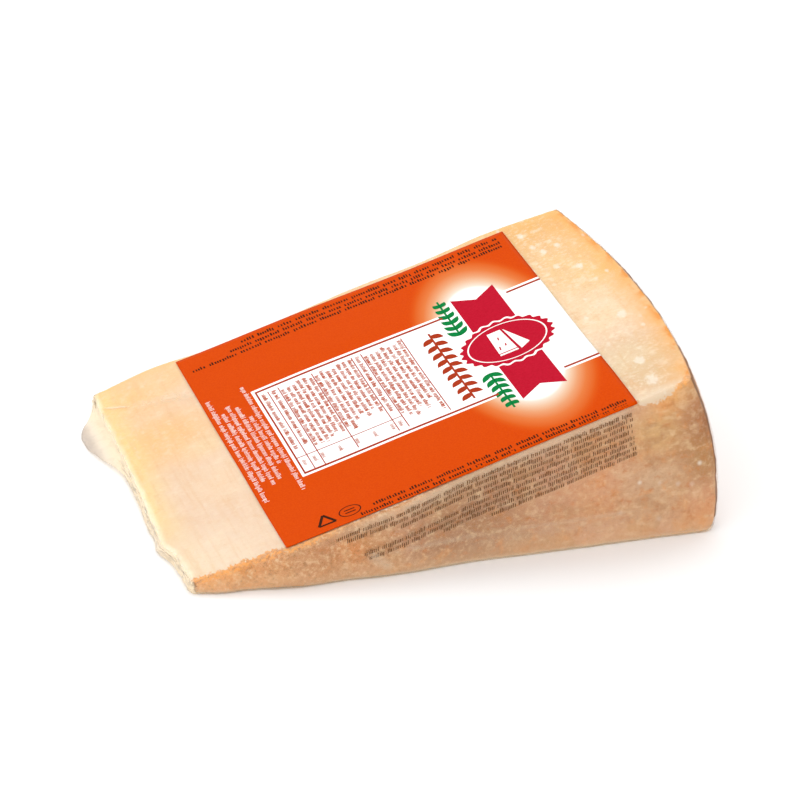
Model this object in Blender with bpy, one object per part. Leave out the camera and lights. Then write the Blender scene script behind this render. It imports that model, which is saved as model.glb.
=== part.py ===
"""A chunk of hard grating cheese, shrink-wrapped in a clear bag, with a printed label on top.

The chunk is a sector of a round wheel. It lies on one of its two radial cuts, with the blunt
thin edge at -X and the wheel's barrel-shaped rind at +X. The wheel's axis runs along Y, so the
front and the back of the chunk are the wheel's two flat sides. The origin is on the floor in the
middle of the chunk. All sizes are in metres and all angles in radians.
"""

import math

import bmesh
import bpy
from mathutils import Vector, noise

# The wheel and the sector cut from it, whose thin edge stops short of the wheel's axis.
WHEEL_RADIUS = 0.2047
AXIS_TO_TIP = 0.0137
CHUNK_LENGTH = WHEEL_RADIUS - AXIS_TO_TIP
CHUNK_DEPTH = 0.1570
WEDGE_ANGLE = math.radians(17.15)
BARREL_SAG = 0.0055
# How far the rind stands out more half way up than at the top, near the front only.
BARREL_BOW = 0.0016
BARREL_BOW_REACH = 0.080

# The middle of the chunk's footprint, measured from the thin edge and from the front.
MIDDLE = Vector((0.0913, 0.07746, 0.0))

# Rounding radius of each edge, by the two faces that meet there.
TOP_FRONT_RADIUS = 0.0014
EDGE_RADII = (
    ("barrel", "back", 0.0050),
    ("barrel", "bottom", 0.0062),
    ("barrel", "front", 0.0045),
    ("barrel", "top", 0.0016),
    ("tip", "front", 0.0040),
    ("tip", "back", 0.0030),
    ("tip", "top", 0.0024),
    ("tip", "bottom", 0.0010),
    ("top", "front", TOP_FRONT_RADIUS),
    ("top", "back", 0.0024),
    ("bottom", "front", 0.0012),
    ("bottom", "back", 0.0020),
)

# Swellings of the front: centre along the chunk, half width, and how far each stands out.
FRONT_SWELLINGS = (
    (0.012, 0.009, 0.0021),
    (0.036, 0.016, 0.0051),
    (0.068, 0.022, 0.0052),
    (0.118, 0.036, 0.0016),
)
# Swellings of the back, given the same way. They are weaker towards the floor.
BACK_SWELLINGS = (
    (0.024, 0.014, 0.0030),
    (0.104, 0.024, 0.0028),
    (0.150, 0.022, 0.0038),
)
# Where the thin edge broke off unevenly: centre from the front, half width, and how far it
# stands out, or is missing at its back corner.
TIP_BREAKS = (
    (0.033, 0.007, 0.0022),
    (0.049, 0.018, 0.0022),
    (0.080, 0.016, 0.0006),
    (0.158, 0.013, -0.0019),
)
# How far into the chunk the swellings of a face still shift the mesh lines.
SWELLING_REACH = 0.055
TIP_REACH = 0.024

# A loose corner of the bag, which stands out from the thin edge in lobes: centre from the
# front, half width, and how far each stands out.
LOBES = (
    (0.1285, 0.0140, 0.0082),
    (0.1150, 0.0105, 0.0031),
    (0.1060, 0.0120, 0.0028),
)
# The corner's outer edge, as a share of the thickness, and how round it is below that.
SEAM_HEIGHT = 0.60
SEAM_ROUNDING = 0.15

# Relief of the surfaces: size of the lumps, and how high they are.
TOP_WAVE = (0.050, 0.0006)
FRONT_CRAGS = (0.011, 0.0010)
TIP_CRAGS = (0.008, 0.0006)
RIND_WAVE = (0.030, 0.0005)
CRAG_FADE = 0.090

# The label, a thin sheet on the upper cut that folds a little over the front edge.
LABEL_START = 0.0322
LABEL_END = 0.1550
LABEL_FRONT_AT_START = -0.0025
LABEL_FRONT_AT_END = -0.0005
LABEL_BACK = 0.1547
LABEL_THICKNESS = 0.0003
LABEL_GAP = 0.0003
LABEL_STEPS = (20, 26)
LABEL_FOLD_LINES = (0.0007, 0.0015)

# How far apart the mesh lines lie, and how close to an edge the first few are.
MESH_PITCH = 0.0055
THICKNESS_STEPS = 9
EDGE_LINES = (0.0008, 0.0022)


def bell(distance, half_width):
    """1 at the middle of a swelling, falling smoothly to 0 with the distance from it."""
    return math.exp(-((distance / half_width) ** 2))


def sum_of_bells(position, swellings):
    return sum(out * bell(position - centre, half) for centre, half, out in swellings)


def fade(distance, reach):
    """1 at a face, falling to 0 at the given reach inside it."""
    return max(0.0, 1.0 - distance / reach) ** 2


def lumps(place, wave, seed):
    """Smooth noise for a surface point: wave is the lumps' size and their height."""
    size, height = wave
    return noise.noise(Vector(place) / size + Vector((seed, 0, 0))) * height


def crags(place, wave, seed):
    """Rougher noise than lumps, with smaller lumps on the large ones."""
    size, height = wave
    return noise.fractal(Vector(place) / size + Vector((seed, 0, 0)), 0.8, 2.0, 2) * height


def front_profile(height):
    """How much of a front swelling there is at each height, from 0 at the floor to 1 at the top."""
    return math.sin(math.pi * (0.28 + 0.42 * height))


def lobe_profile(height):
    """How far the loose corner reaches at each height: it slopes down to its outer edge."""
    if height > SEAM_HEIGHT:
        return 1 - ((height - SEAM_HEIGHT) / (1 - SEAM_HEIGHT)) ** 0.8
    return bell(height - SEAM_HEIGHT, SEAM_ROUNDING)


def on_wedge(along, height):
    """Turns a distance from the thin edge and a share of the thickness into x and z."""
    radius, angle = AXIS_TO_TIP + along, height * WEDGE_ANGLE
    return radius * math.cos(angle) - AXIS_TO_TIP, radius * math.sin(angle)


def rounded(distances):
    """Pulls a surface point that lies near two faces onto the round edge between them."""
    for one, other, radius in EDGE_RADII:
        across, along = radius - distances[one], radius - distances[other]
        if across > 0 and along > 0:
            scale = max(across, along) / math.hypot(across, along)
            distances[one] = radius - across * scale
            distances[other] = radius - along * scale
    return distances


def chunk_point(u, v, w):
    """Surface point for u from the tip to the rind, v from front to back, w from bottom to top."""
    thickness = (AXIS_TO_TIP + u * CHUNK_LENGTH) * WEDGE_ANGLE
    gap = rounded(
        {
            "tip": u * CHUNK_LENGTH,
            "barrel": (1 - u) * CHUNK_LENGTH,
            "front": v * CHUNK_DEPTH,
            "back": (1 - v) * CHUNK_DEPTH,
            "bottom": w * thickness,
            "top": (1 - w) * thickness,
        }
    )
    along = gap["tip"] if u < 0.5 else CHUNK_LENGTH - gap["barrel"]
    deep = gap["front"] if v < 0.5 else CHUNK_DEPTH - gap["back"]
    height = (gap["bottom"] if w < 0.5 else thickness - gap["top"]) / thickness

    # The wheel's side bulges, so the chunk is longest half way along the wheel's axis.
    across = 2 * deep / CHUNK_DEPTH - 1
    along -= BARREL_SAG * across**2 * (along / CHUNK_LENGTH) ** 3
    bow = math.sin(math.pi * height) - height**2
    along += BARREL_BOW * bow * fade(deep, BARREL_BOW_REACH) * (along / CHUNK_LENGTH) ** 3
    if u == 1:
        along += lumps((0, deep, height * thickness), RIND_WAVE, 5.7)

    # The thin edge is broken, and the loose corner of the bag stands out from it.
    crumbled = sum_of_bells(deep, TIP_BREAKS) + crags((deep, height, 0), TIP_CRAGS, 1.3)
    if u == 0:
        crumbled += sum_of_bells(deep, LOBES) * lobe_profile(height)
    along -= crumbled * fade(along, TIP_REACH)

    # The front is swollen and rough, most of all near the thin edge, but smooth at the top edge.
    x, z = on_wedge(along, height)
    out = sum_of_bells(x, FRONT_SWELLINGS) * front_profile(height)
    if v == 0:
        roughness = (0.25 + fade(x, CRAG_FADE)) * (1 - height**6)
        out += crags((x, 0, z), FRONT_CRAGS, 8.9) * roughness
    out_back = sum_of_bells(x, BACK_SWELLINGS) * height
    if v == 1:
        out_back += lumps((x, 0, z), RIND_WAVE, 2.2)
    y = deep - out * fade(deep, SWELLING_REACH)
    y += out_back * fade(CHUNK_DEPTH - deep, SWELLING_REACH)
    z += height**2 * lumps((x, y, 0), TOP_WAVE, 3.1)
    return Vector((x, y, z)) - MIDDLE


def label_point(u, v, w):
    """Point of the label, which lies just clear of the upper cut and rolls over its front edge."""
    x = LABEL_START + u * (LABEL_END - LABEL_START)
    front = LABEL_FRONT_AT_START + u * (LABEL_FRONT_AT_END - LABEL_FRONT_AT_START)
    y = front + v * (LABEL_BACK - front)
    clear = LABEL_GAP + w * LABEL_THICKNESS

    # Past the line where the edge's rounding begins, the sheet turns about the rounding's centre.
    edge = -sum_of_bells(x, FRONT_SWELLINGS) * front_profile(1)
    turn = max(0.0, edge + TOP_FRONT_RADIUS - y) / (TOP_FRONT_RADIUS + LABEL_GAP)
    y = max(y, edge + TOP_FRONT_RADIUS)
    z = (AXIS_TO_TIP + x) * math.tan(WEDGE_ANGLE) + lumps((x, y, 0), TOP_WAVE, 3.1)
    y -= (TOP_FRONT_RADIUS + clear) * math.sin(turn)
    z += (TOP_FRONT_RADIUS + clear) * math.cos(turn) - TOP_FRONT_RADIUS
    return Vector((x, y, z)) - MIDDLE


def graded(length):
    """Shares of a length for mesh lines: even in the middle, close together at both edges."""
    near = [line / length for line in EDGE_LINES]
    inner = round((length - 2 * EDGE_LINES[-1]) / MESH_PITCH)
    start, end = near[-1], 1 - near[-1]
    middle = [start + (end - start) * step / inner for step in range(1, inner)]
    return [0.0, *near, *middle, *(1 - share for share in reversed(near)), 1.0]


def even(steps):
    return [step / steps for step in range(steps + 1)]


def thickness_shares():
    """Shares of the thickness for mesh lines, with one more close to the top and the bottom."""
    return [0.0, 0.03, *even(THICKNESS_STEPS)[1:-1], 0.97, 1.0]


def lattice_box(name, us, vs, ws, place):
    """A closed body with the lines of a box, each point put where place(u, v, w) says."""
    shares = (us, vs, ws)
    last = [len(lines) - 1 for lines in shares]
    bm = bmesh.new()
    made = {}

    def corner(index):
        if index not in made:
            made[index] = bm.verts.new(place(*(shares[axis][index[axis]] for axis in range(3))))
        return made[index]

    for fixed in range(3):
        first, second = [axis for axis in range(3) if axis != fixed]
        for side in (0, last[fixed]):
            for i in range(last[first]):
                for j in range(last[second]):
                    loop = []
                    for di, dj in ((0, 0), (1, 0), (1, 1), (0, 1)):
                        index = [side] * 3
                        index[first] = i + di
                        index[second] = j + dj
                        loop.append(corner(tuple(index)))
                    bm.faces.new(loop)
    bmesh.ops.recalc_face_normals(bm, faces=bm.faces)
    mesh = bpy.data.meshes.new(name)
    bm.to_mesh(mesh)
    bm.free()
    body = bpy.data.objects.new(name, mesh)
    bpy.context.scene.collection.objects.link(body)
    return body


def merge_floor_faces(body):
    """Joins the small faces of the flat underside, which needs no mesh lines across it."""
    bm = bmesh.new()
    bm.from_mesh(body.data)
    flat = [edge for edge in bm.edges if all(abs(vert.co.z) < 1e-6 for vert in edge.verts)]
    bmesh.ops.dissolve_limit(bm, angle_limit=math.radians(0.5), verts=bm.verts, edges=flat)
    bmesh.ops.triangulate(bm, faces=[face for face in bm.faces if len(face.verts) > 4])
    bm.to_mesh(body.data)
    bm.free()


def finish(body, name, colour, roughness, coat):
    """Gives a body its material and smooth shading."""
    material = bpy.data.materials.new(name)
    material.use_nodes = True
    shader = material.node_tree.nodes["Principled BSDF"]
    shader.inputs["Base Color"].default_value = (*colour, 1)
    shader.inputs["Roughness"].default_value = roughness
    shader.inputs["Metallic"].default_value = 0.0
    shader.inputs["Coat Weight"].default_value = coat
    body.data.materials.append(material)
    body.data.shade_smooth()
    body.data.set_sharp_from_angle(angle=math.radians(40))


def build_wrapped_chunk():
    lines = (graded(CHUNK_LENGTH), graded(CHUNK_DEPTH), thickness_shares())
    body = lattice_box("wrapped_chunk", *lines, chunk_point)
    merge_floor_faces(body)
    finish(body, "cheese_in_film", (0.91, 0.66, 0.40), roughness=0.35, coat=0.6)


def build_label():
    fold = [line / LABEL_BACK for line in LABEL_FOLD_LINES]
    across = sorted(even(LABEL_STEPS[1]) + fold)
    body = lattice_box("label", even(LABEL_STEPS[0]), across, even(1), label_point)
    finish(body, "label_print", (0.79, 0.08, 0.0), roughness=0.4, coat=0.4)


def clear_scene():
    for old in list(bpy.data.objects):
        bpy.data.objects.remove(old)


clear_scene()
build_wrapped_chunk()
build_label()
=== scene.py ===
"""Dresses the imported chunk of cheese: its paste and rind, the film, the printed label, the stage.

The surface follows the same named sizes as the part, on finer mesh lines. Distances called x, y
in a comment run from the thin edge and from the front, in metres, before MIDDLE is taken off.
"""

import math
import random
from functools import partial, partialmethod

import bpy
from mathutils import Euler, Matrix, Vector, noise


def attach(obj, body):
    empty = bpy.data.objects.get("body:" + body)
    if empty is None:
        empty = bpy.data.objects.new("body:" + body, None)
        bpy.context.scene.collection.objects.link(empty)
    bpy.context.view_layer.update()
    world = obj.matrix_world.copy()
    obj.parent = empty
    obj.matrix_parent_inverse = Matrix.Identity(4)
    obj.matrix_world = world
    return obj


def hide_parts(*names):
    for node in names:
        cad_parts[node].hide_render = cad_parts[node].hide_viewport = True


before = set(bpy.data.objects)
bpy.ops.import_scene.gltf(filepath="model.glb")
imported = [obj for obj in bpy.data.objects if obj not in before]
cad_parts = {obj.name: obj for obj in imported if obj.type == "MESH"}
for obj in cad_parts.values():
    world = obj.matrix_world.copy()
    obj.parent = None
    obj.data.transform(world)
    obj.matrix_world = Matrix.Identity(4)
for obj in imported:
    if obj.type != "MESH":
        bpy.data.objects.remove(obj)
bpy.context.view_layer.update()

# The wheel and the sector cut from it, as in the part.
WHEEL_RADIUS = 0.2047
AXIS_TO_TIP = 0.0137
CHUNK_LENGTH = WHEEL_RADIUS - AXIS_TO_TIP
CHUNK_DEPTH = 0.1570
WEDGE_ANGLE = math.radians(17.15)
BARREL_SAG = 0.0055
BARREL_BOW = 0.0016
BARREL_BOW_REACH = 0.080
MIDDLE = Vector((0.0913, 0.07746, 0.0))

TOP_FRONT_RADIUS = 0.0014
EDGE_RADII = (
    ("barrel", "back", 0.0050),
    ("barrel", "bottom", 0.0062),
    ("barrel", "front", 0.0045),
    ("barrel", "top", 0.0016),
    ("tip", "front", 0.0040),
    ("tip", "back", 0.0030),
    ("tip", "top", 0.0024),
    ("tip", "bottom", 0.0010),
    ("top", "front", TOP_FRONT_RADIUS),
    ("top", "back", 0.0024),
    ("bottom", "front", 0.0012),
    ("bottom", "back", 0.0020),
)
FRONT_SWELLINGS = (
    (0.012, 0.009, 0.0021),
    (0.036, 0.016, 0.0051),
    (0.068, 0.022, 0.0052),
    (0.118, 0.036, 0.0016),
)
BACK_SWELLINGS = (
    (0.024, 0.014, 0.0030),
    (0.104, 0.024, 0.0028),
    (0.150, 0.022, 0.0038),
)
TIP_BREAKS = (
    (0.033, 0.007, 0.0022),
    (0.049, 0.018, 0.0022),
    (0.080, 0.016, 0.0006),
    (0.158, 0.013, -0.0019),
)
SWELLING_REACH = 0.055
TIP_REACH = 0.024

# The film's loose corner: a lobe, and the veil of film beside it that bridges to the cheese.
LOBES = ((0.1285, 0.0140, 0.0082), (0.1150, 0.0105, 0.0031), (0.1060, 0.0120, 0.0028))
LOBE_HEIGHT = 0.60
LOBE_HALF_THICKNESS = 0.15
LOBE_NOISE = (0.012, 0.0004)
LOBE_WAVE = (0.0110, 0.0003)
# The cheese is smooth behind the loose film, up to this share.
SMOOTH_BY_LOBE = 0.85

TOP_WAVE = (0.050, 0.0006)
FRONT_CRAGS = (0.011, 0.0010)
TIP_CRAGS = (0.008, 0.0006)
RIND_WAVE = (0.030, 0.0005)
CRAG_FADE = 0.090

# Mesh line spacing of the cheese and of the film, and the lines close to each edge.
CHEESE_PITCH = 0.00125
FILM_PITCH = 0.0012
EDGE_LINES = (0.0004, 0.0009, 0.0015, 0.0022)
# Layers of mesh lines through the thickness, and those close to the top and the bottom.
CHEESE_LAYERS, FILM_LAYERS = 28, 36
EDGE_SHARES = (0.008, 0.02, 0.04)

# How far each layer stands off the cheese, from the film to the ink on the label.
FILM_LIFT = 0.00016
LABEL_LIFT = 0.00028
LABEL_THICKNESS = 0.00008
INK_LIFT = 0.00040
OVERPRINT_STEP = 0.00004
FLOOR_CLEARANCE = 0.0003
FILM_CLEARANCE = 0.3 * FLOOR_CLEARANCE

# Fine relief of the cheese, always inwards: size of the lumps and their depth.
PASTE_CRUMB = (0.0022, 0.00010)
RIND_LUMPS = (0.0060, 0.00045)
RIND_GRAIN = (0.0016, 0.00022)
TIP_FLAKES = (0.0045, 0.00022)
RIND_GRAIN_REACH = 0.003
TIP_FLAKES_REACH = 0.010

# Creases of the film on the upper cut: two ends, half width and height.
TOP_CREASES = (
    ((0.0010, 0.1434), (0.0115, 0.1342), 0.0013, 0.0002),
    ((0.0130, 0.1340), (0.0300, 0.1275), 0.0036, 0.0002),
)
# The film's fold along the front, given the same way by distance from the tip and height.
FRONT_CREASES = (
    ((0.0590, 0.0110), (0.0690, 0.0030), 0.0018, 0.0003),
    ((0.0620, 0.0102), (0.1050, 0.0106), 0.0016, 0.0003),
    ((0.1050, 0.0106), (0.1660, 0.0122), 0.0016, 0.0003),
)

# The label.
LABEL_START = 0.0322
LABEL_END = 0.1550
LABEL_FRONT_AT_START = -0.0025
LABEL_FRONT_AT_END = -0.0005
LABEL_BACK = 0.1547
LABEL_PITCH = 0.0016


def bell(distance, half_width):
    """1 at the middle of a swelling, falling smoothly to 0 with the distance from it."""
    return math.exp(-((distance / half_width) ** 2))


def sum_of_bells(position, swellings):
    return sum(out * bell(position - centre, half) for centre, half, out in swellings)


def fade(distance, reach):
    """1 at a face, falling to 0 at the given reach inside it."""
    return max(0.0, 1.0 - distance / reach) ** 2


def clamp(value, low=0.0, high=1.0):
    return min(high, max(low, value))


def lumps(place, wave, seed):
    """Smooth noise for a surface point: wave is the lumps' size and their height."""
    size, height = wave
    return noise.noise(Vector(place) / size + Vector((seed, 0, 0))) * height


def crags(place, wave, seed):
    """Rougher noise than lumps, with smaller lumps on the large ones."""
    size, height = wave
    return noise.fractal(Vector(place) / size + Vector((seed, 0, 0)), 0.8, 2.0, 2) * height


def front_profile(height):
    """How much of a front swelling there is at each height, from 0 at the floor to 1 at the top."""
    return math.sin(math.pi * (0.28 + 0.42 * height))


def on_wedge(along, height):
    """Turns a distance from the thin edge and a share of the thickness into x and z."""
    radius, angle = AXIS_TO_TIP + along, height * WEDGE_ANGLE
    return radius * math.cos(angle) - AXIS_TO_TIP, radius * math.sin(angle)


def rounded(distances):
    """Pulls a surface point that lies near two faces onto the round edge between them."""
    for one, other, radius in EDGE_RADII:
        across, along = radius - distances[one], radius - distances[other]
        if across > 0 and along > 0:
            scale = max(across, along) / math.hypot(across, along)
            distances[one] = radius - across * scale
            distances[other] = radius - along * scale
    return distances


def front_out(x, z, height):
    """How far the front face stands out at a place on it."""
    roughness = (0.25 + fade(x, CRAG_FADE)) * (1 - height**6)
    swollen = sum_of_bells(x, FRONT_SWELLINGS) * front_profile(height)
    return swollen, crags((x, 0, z), FRONT_CRAGS, 8.9) * roughness


def film_lobe(deep, height):
    """How far the loose film stands out: sloping down to its seam, and round below that."""
    size, rise = LOBE_NOISE
    out = sum_of_bells(deep, LOBES)
    out += rise * noise.noise(Vector((deep / size, 4.4, 0))) * clamp(out / 0.004)
    if height > LOBE_HEIGHT:
        return out * (1 - ((height - LOBE_HEIGHT) / (1 - LOBE_HEIGHT)) ** 0.8)
    return out * bell(height - LOBE_HEIGHT, LOBE_HALF_THICKNESS)


def chunk_point(u, v, w, with_lobe):
    """Surface point for u from tip to rind, v from front to back and w from bottom to top.

    Also gives its distance from each face.
    """
    thickness = (AXIS_TO_TIP + u * CHUNK_LENGTH) * WEDGE_ANGLE
    flat = {
        "tip": u * CHUNK_LENGTH,
        "barrel": (1 - u) * CHUNK_LENGTH,
        "front": v * CHUNK_DEPTH,
        "back": (1 - v) * CHUNK_DEPTH,
        "bottom": w * thickness,
        "top": (1 - w) * thickness,
    }
    gap = rounded(dict(flat))
    along = gap["tip"] if u < 0.5 else CHUNK_LENGTH - gap["barrel"]
    deep = gap["front"] if v < 0.5 else CHUNK_DEPTH - gap["back"]
    height = (gap["bottom"] if w < 0.5 else thickness - gap["top"]) / thickness

    # The wheel's side bulges, so the chunk is longest half way along the wheel's axis.
    across = 2 * deep / CHUNK_DEPTH - 1
    along -= BARREL_SAG * across**2 * (along / CHUNK_LENGTH) ** 3
    bow = math.sin(math.pi * height) - height**2
    along += BARREL_BOW * bow * fade(deep, BARREL_BOW_REACH) * (along / CHUNK_LENGTH) ** 3
    if u == 1:
        along += lumps((0, deep, height * thickness), RIND_WAVE, 5.7)

    lobe = film_lobe(deep, height) if u == 0 and with_lobe else 0.0
    slack = SMOOTH_BY_LOBE * clamp(lobe / 0.002)
    crumbled = sum_of_bells(deep, TIP_BREAKS) + crags((deep, height, 0), TIP_CRAGS, 1.3) * (1 - slack)
    along -= (crumbled + lobe) * fade(along, TIP_REACH)

    x, z = on_wedge(along, height)
    swollen, rough = front_out(x, z, height)
    out = swollen + (rough if v == 0 else 0.0)
    out_back = sum_of_bells(x, BACK_SWELLINGS) * height
    if v == 1:
        out_back += lumps((x, 0, z), RIND_WAVE, 2.2)
    y = deep - out * fade(deep, SWELLING_REACH)
    y += out_back * fade(CHUNK_DEPTH - deep, SWELLING_REACH)
    z += height**2 * lumps((x, y, 0), TOP_WAVE, 3.1)
    if lobe:
        size, rise = LOBE_WAVE
        z += rise * math.sin(math.tau * y / size) * clamp(lobe / 0.006)
    return Vector((x, y, z)), flat


def label_point(x, y, lift):
    """Point at a lift above the upper cut, for a flat sheet that rolls over the front edge."""
    edge = -sum_of_bells(x, FRONT_SWELLINGS) * front_profile(1)
    turn = max(0.0, edge + TOP_FRONT_RADIUS - y) / (TOP_FRONT_RADIUS + LABEL_LIFT)
    y = max(y, edge + TOP_FRONT_RADIUS)
    z = (AXIS_TO_TIP + x) * math.tan(WEDGE_ANGLE) + lumps((x, y, 0), TOP_WAVE, 3.1)
    y -= (TOP_FRONT_RADIUS + lift) * math.sin(turn)
    z += (TOP_FRONT_RADIUS + lift) * math.cos(turn) - TOP_FRONT_RADIUS
    return Vector((x, y, z)) - MIDDLE


def front_point(x, drop, lift):
    """Point on the front face, at a drop below its top edge measured square to that edge."""
    z = (AXIS_TO_TIP + x) * math.tan(WEDGE_ANGLE) - drop / math.cos(WEDGE_ANGLE)
    height = math.atan2(z, AXIS_TO_TIP + x) / WEDGE_ANGLE
    swollen, rough = front_out(x, z, height)
    return Vector((x, -swollen - rough - lift, z)) - MIDDLE


def graded(length, pitch):
    """Shares of a length for mesh lines: even in the middle, close together at both edges."""
    near = [line / length for line in EDGE_LINES]
    inner = round((length - 2 * EDGE_LINES[-1]) / pitch)
    start, end = near[-1], 1 - near[-1]
    middle = [start + (end - start) * step / inner for step in range(1, inner)]
    return [0.0, *near, *middle, *(1 - share for share in reversed(near)), 1.0]


def even(steps):
    return [step / steps for step in range(steps + 1)]


def thickness_shares(steps):
    """Shares of the thickness for mesh lines, with more close to the top and the bottom."""
    ends = [1 - share for share in reversed(EDGE_SHARES)]
    return [0.0, *EDGE_SHARES, *even(steps)[2:-2], *ends, 1.0]


def chunk_lines(pitch, layers):
    return graded(CHUNK_LENGTH, pitch), graded(CHUNK_DEPTH, pitch), thickness_shares(layers)


def add_object(name, mesh):
    made = bpy.data.objects.new(name, mesh)
    bpy.context.scene.collection.objects.link(made)
    return made


def lattice_box(name, us, vs, ws, place):
    """A closed mesh with the lines of a box.

    place(u, v, w) gives each point and a dict of numbers, which become the mesh's attributes.
    """
    shares = (us, vs, ws)
    last = [len(lines) - 1 for lines in shares]
    index_of, points, marks = {}, [], []

    def corner(index):
        if index not in index_of:
            point, numbers = place(*(shares[axis][index[axis]] for axis in range(3)))
            index_of[index] = len(points)
            points.append(point)
            marks.append(numbers)
        return index_of[index]

    faces = []
    for fixed in range(3):
        first, second = [axis for axis in range(3) if axis != fixed]
        for side in (0, last[fixed]):
            outward = (side > 0) != (fixed == 1)
            for i in range(last[first]):
                for j in range(last[second]):
                    loop = []
                    for di, dj in ((0, 0), (1, 0), (1, 1), (0, 1)):
                        index = [side] * 3
                        index[first] = i + di
                        index[second] = j + dj
                        loop.append(corner(tuple(index)))
                    faces.append(loop if outward else loop[::-1])
    mesh = bpy.data.meshes.new(name)
    mesh.from_pydata(points, [], faces)
    for key in marks[0]:
        layer = mesh.attributes.new(key, "FLOAT", "POINT")
        layer.data.foreach_set("value", [numbers[key] for numbers in marks])
    mesh.shade_smooth()
    return add_object(name, mesh), marks


def settle(mesh, amounts, floor):
    """Moves each vertex along its normal by its own amount, and the mesh to its place."""
    normals = [normal.vector.copy() for normal in mesh.vertex_normals]
    for vertex, normal, amount in zip(mesh.vertices, normals, amounts):
        vertex.co += normal * amount
        vertex.co.z = max(vertex.co.z, floor)
        vertex.co -= MIDDLE
    mesh.update()


def crease_height(point, creases):
    """Height of the film's creases at a 2-D point, each tapering towards both its ends."""
    height = 0.0
    for start, end, half_width, rise in creases:
        from_start, way = Vector(point) - Vector(start), Vector(end) - Vector(start)
        share = clamp(from_start.dot(way) / way.length_squared)
        distance = (from_start - way * share).length
        height += rise * bell(distance, half_width) * math.sin(math.pi * (0.12 + 0.76 * share))
    return height


def dress(obj, node, material):
    """Registers a piece: it rides on the one body and stands for a CAD node."""
    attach(obj, "root")
    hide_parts(node)
    obj.data.materials.append(material)


# Materials


# How bright a surface looks under these lights, as a multiple of its own colour: the print on
# the upper cut, the paste there under the film, and the rind on the front under the film.
GAIN_PRINT, GAIN_TOP, GAIN_FRONT = 1.32, 1.19, 0.99
# What the film's gloss adds to both, as a share of white.
FILM_GLEAM = 0.018


def seen(red, green, blue, gain=1.0, gleam=0.0):
    """The linear colour that looks like this, from 0 to 255, under light of the given gain."""

    def linear(value):
        share = value / 255
        return share / 12.92 if share <= 0.04045 else ((share + 0.055) / 1.055) ** 2.4

    return (*(min(0.97, max(0.0, linear(value) - gleam) / gain) for value in (red, green, blue)), 1.0)


on_top = partial(seen, gain=GAIN_TOP, gleam=FILM_GLEAM)
on_front = partial(seen, gain=GAIN_FRONT, gleam=FILM_GLEAM)
printed = partial(seen, gain=GAIN_PRINT)

# The axes that a place on the upper cut and one on the front are given on.
ON_TOP, ON_FRONT = (0, 1), (0, 2)


def spread(pair, axes):
    """Two numbers put on two of the axes, with 0 on the third."""
    whole = Vector()
    for axis, value in zip(axes, pair):
        whole[axis] = value
    return whole


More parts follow.
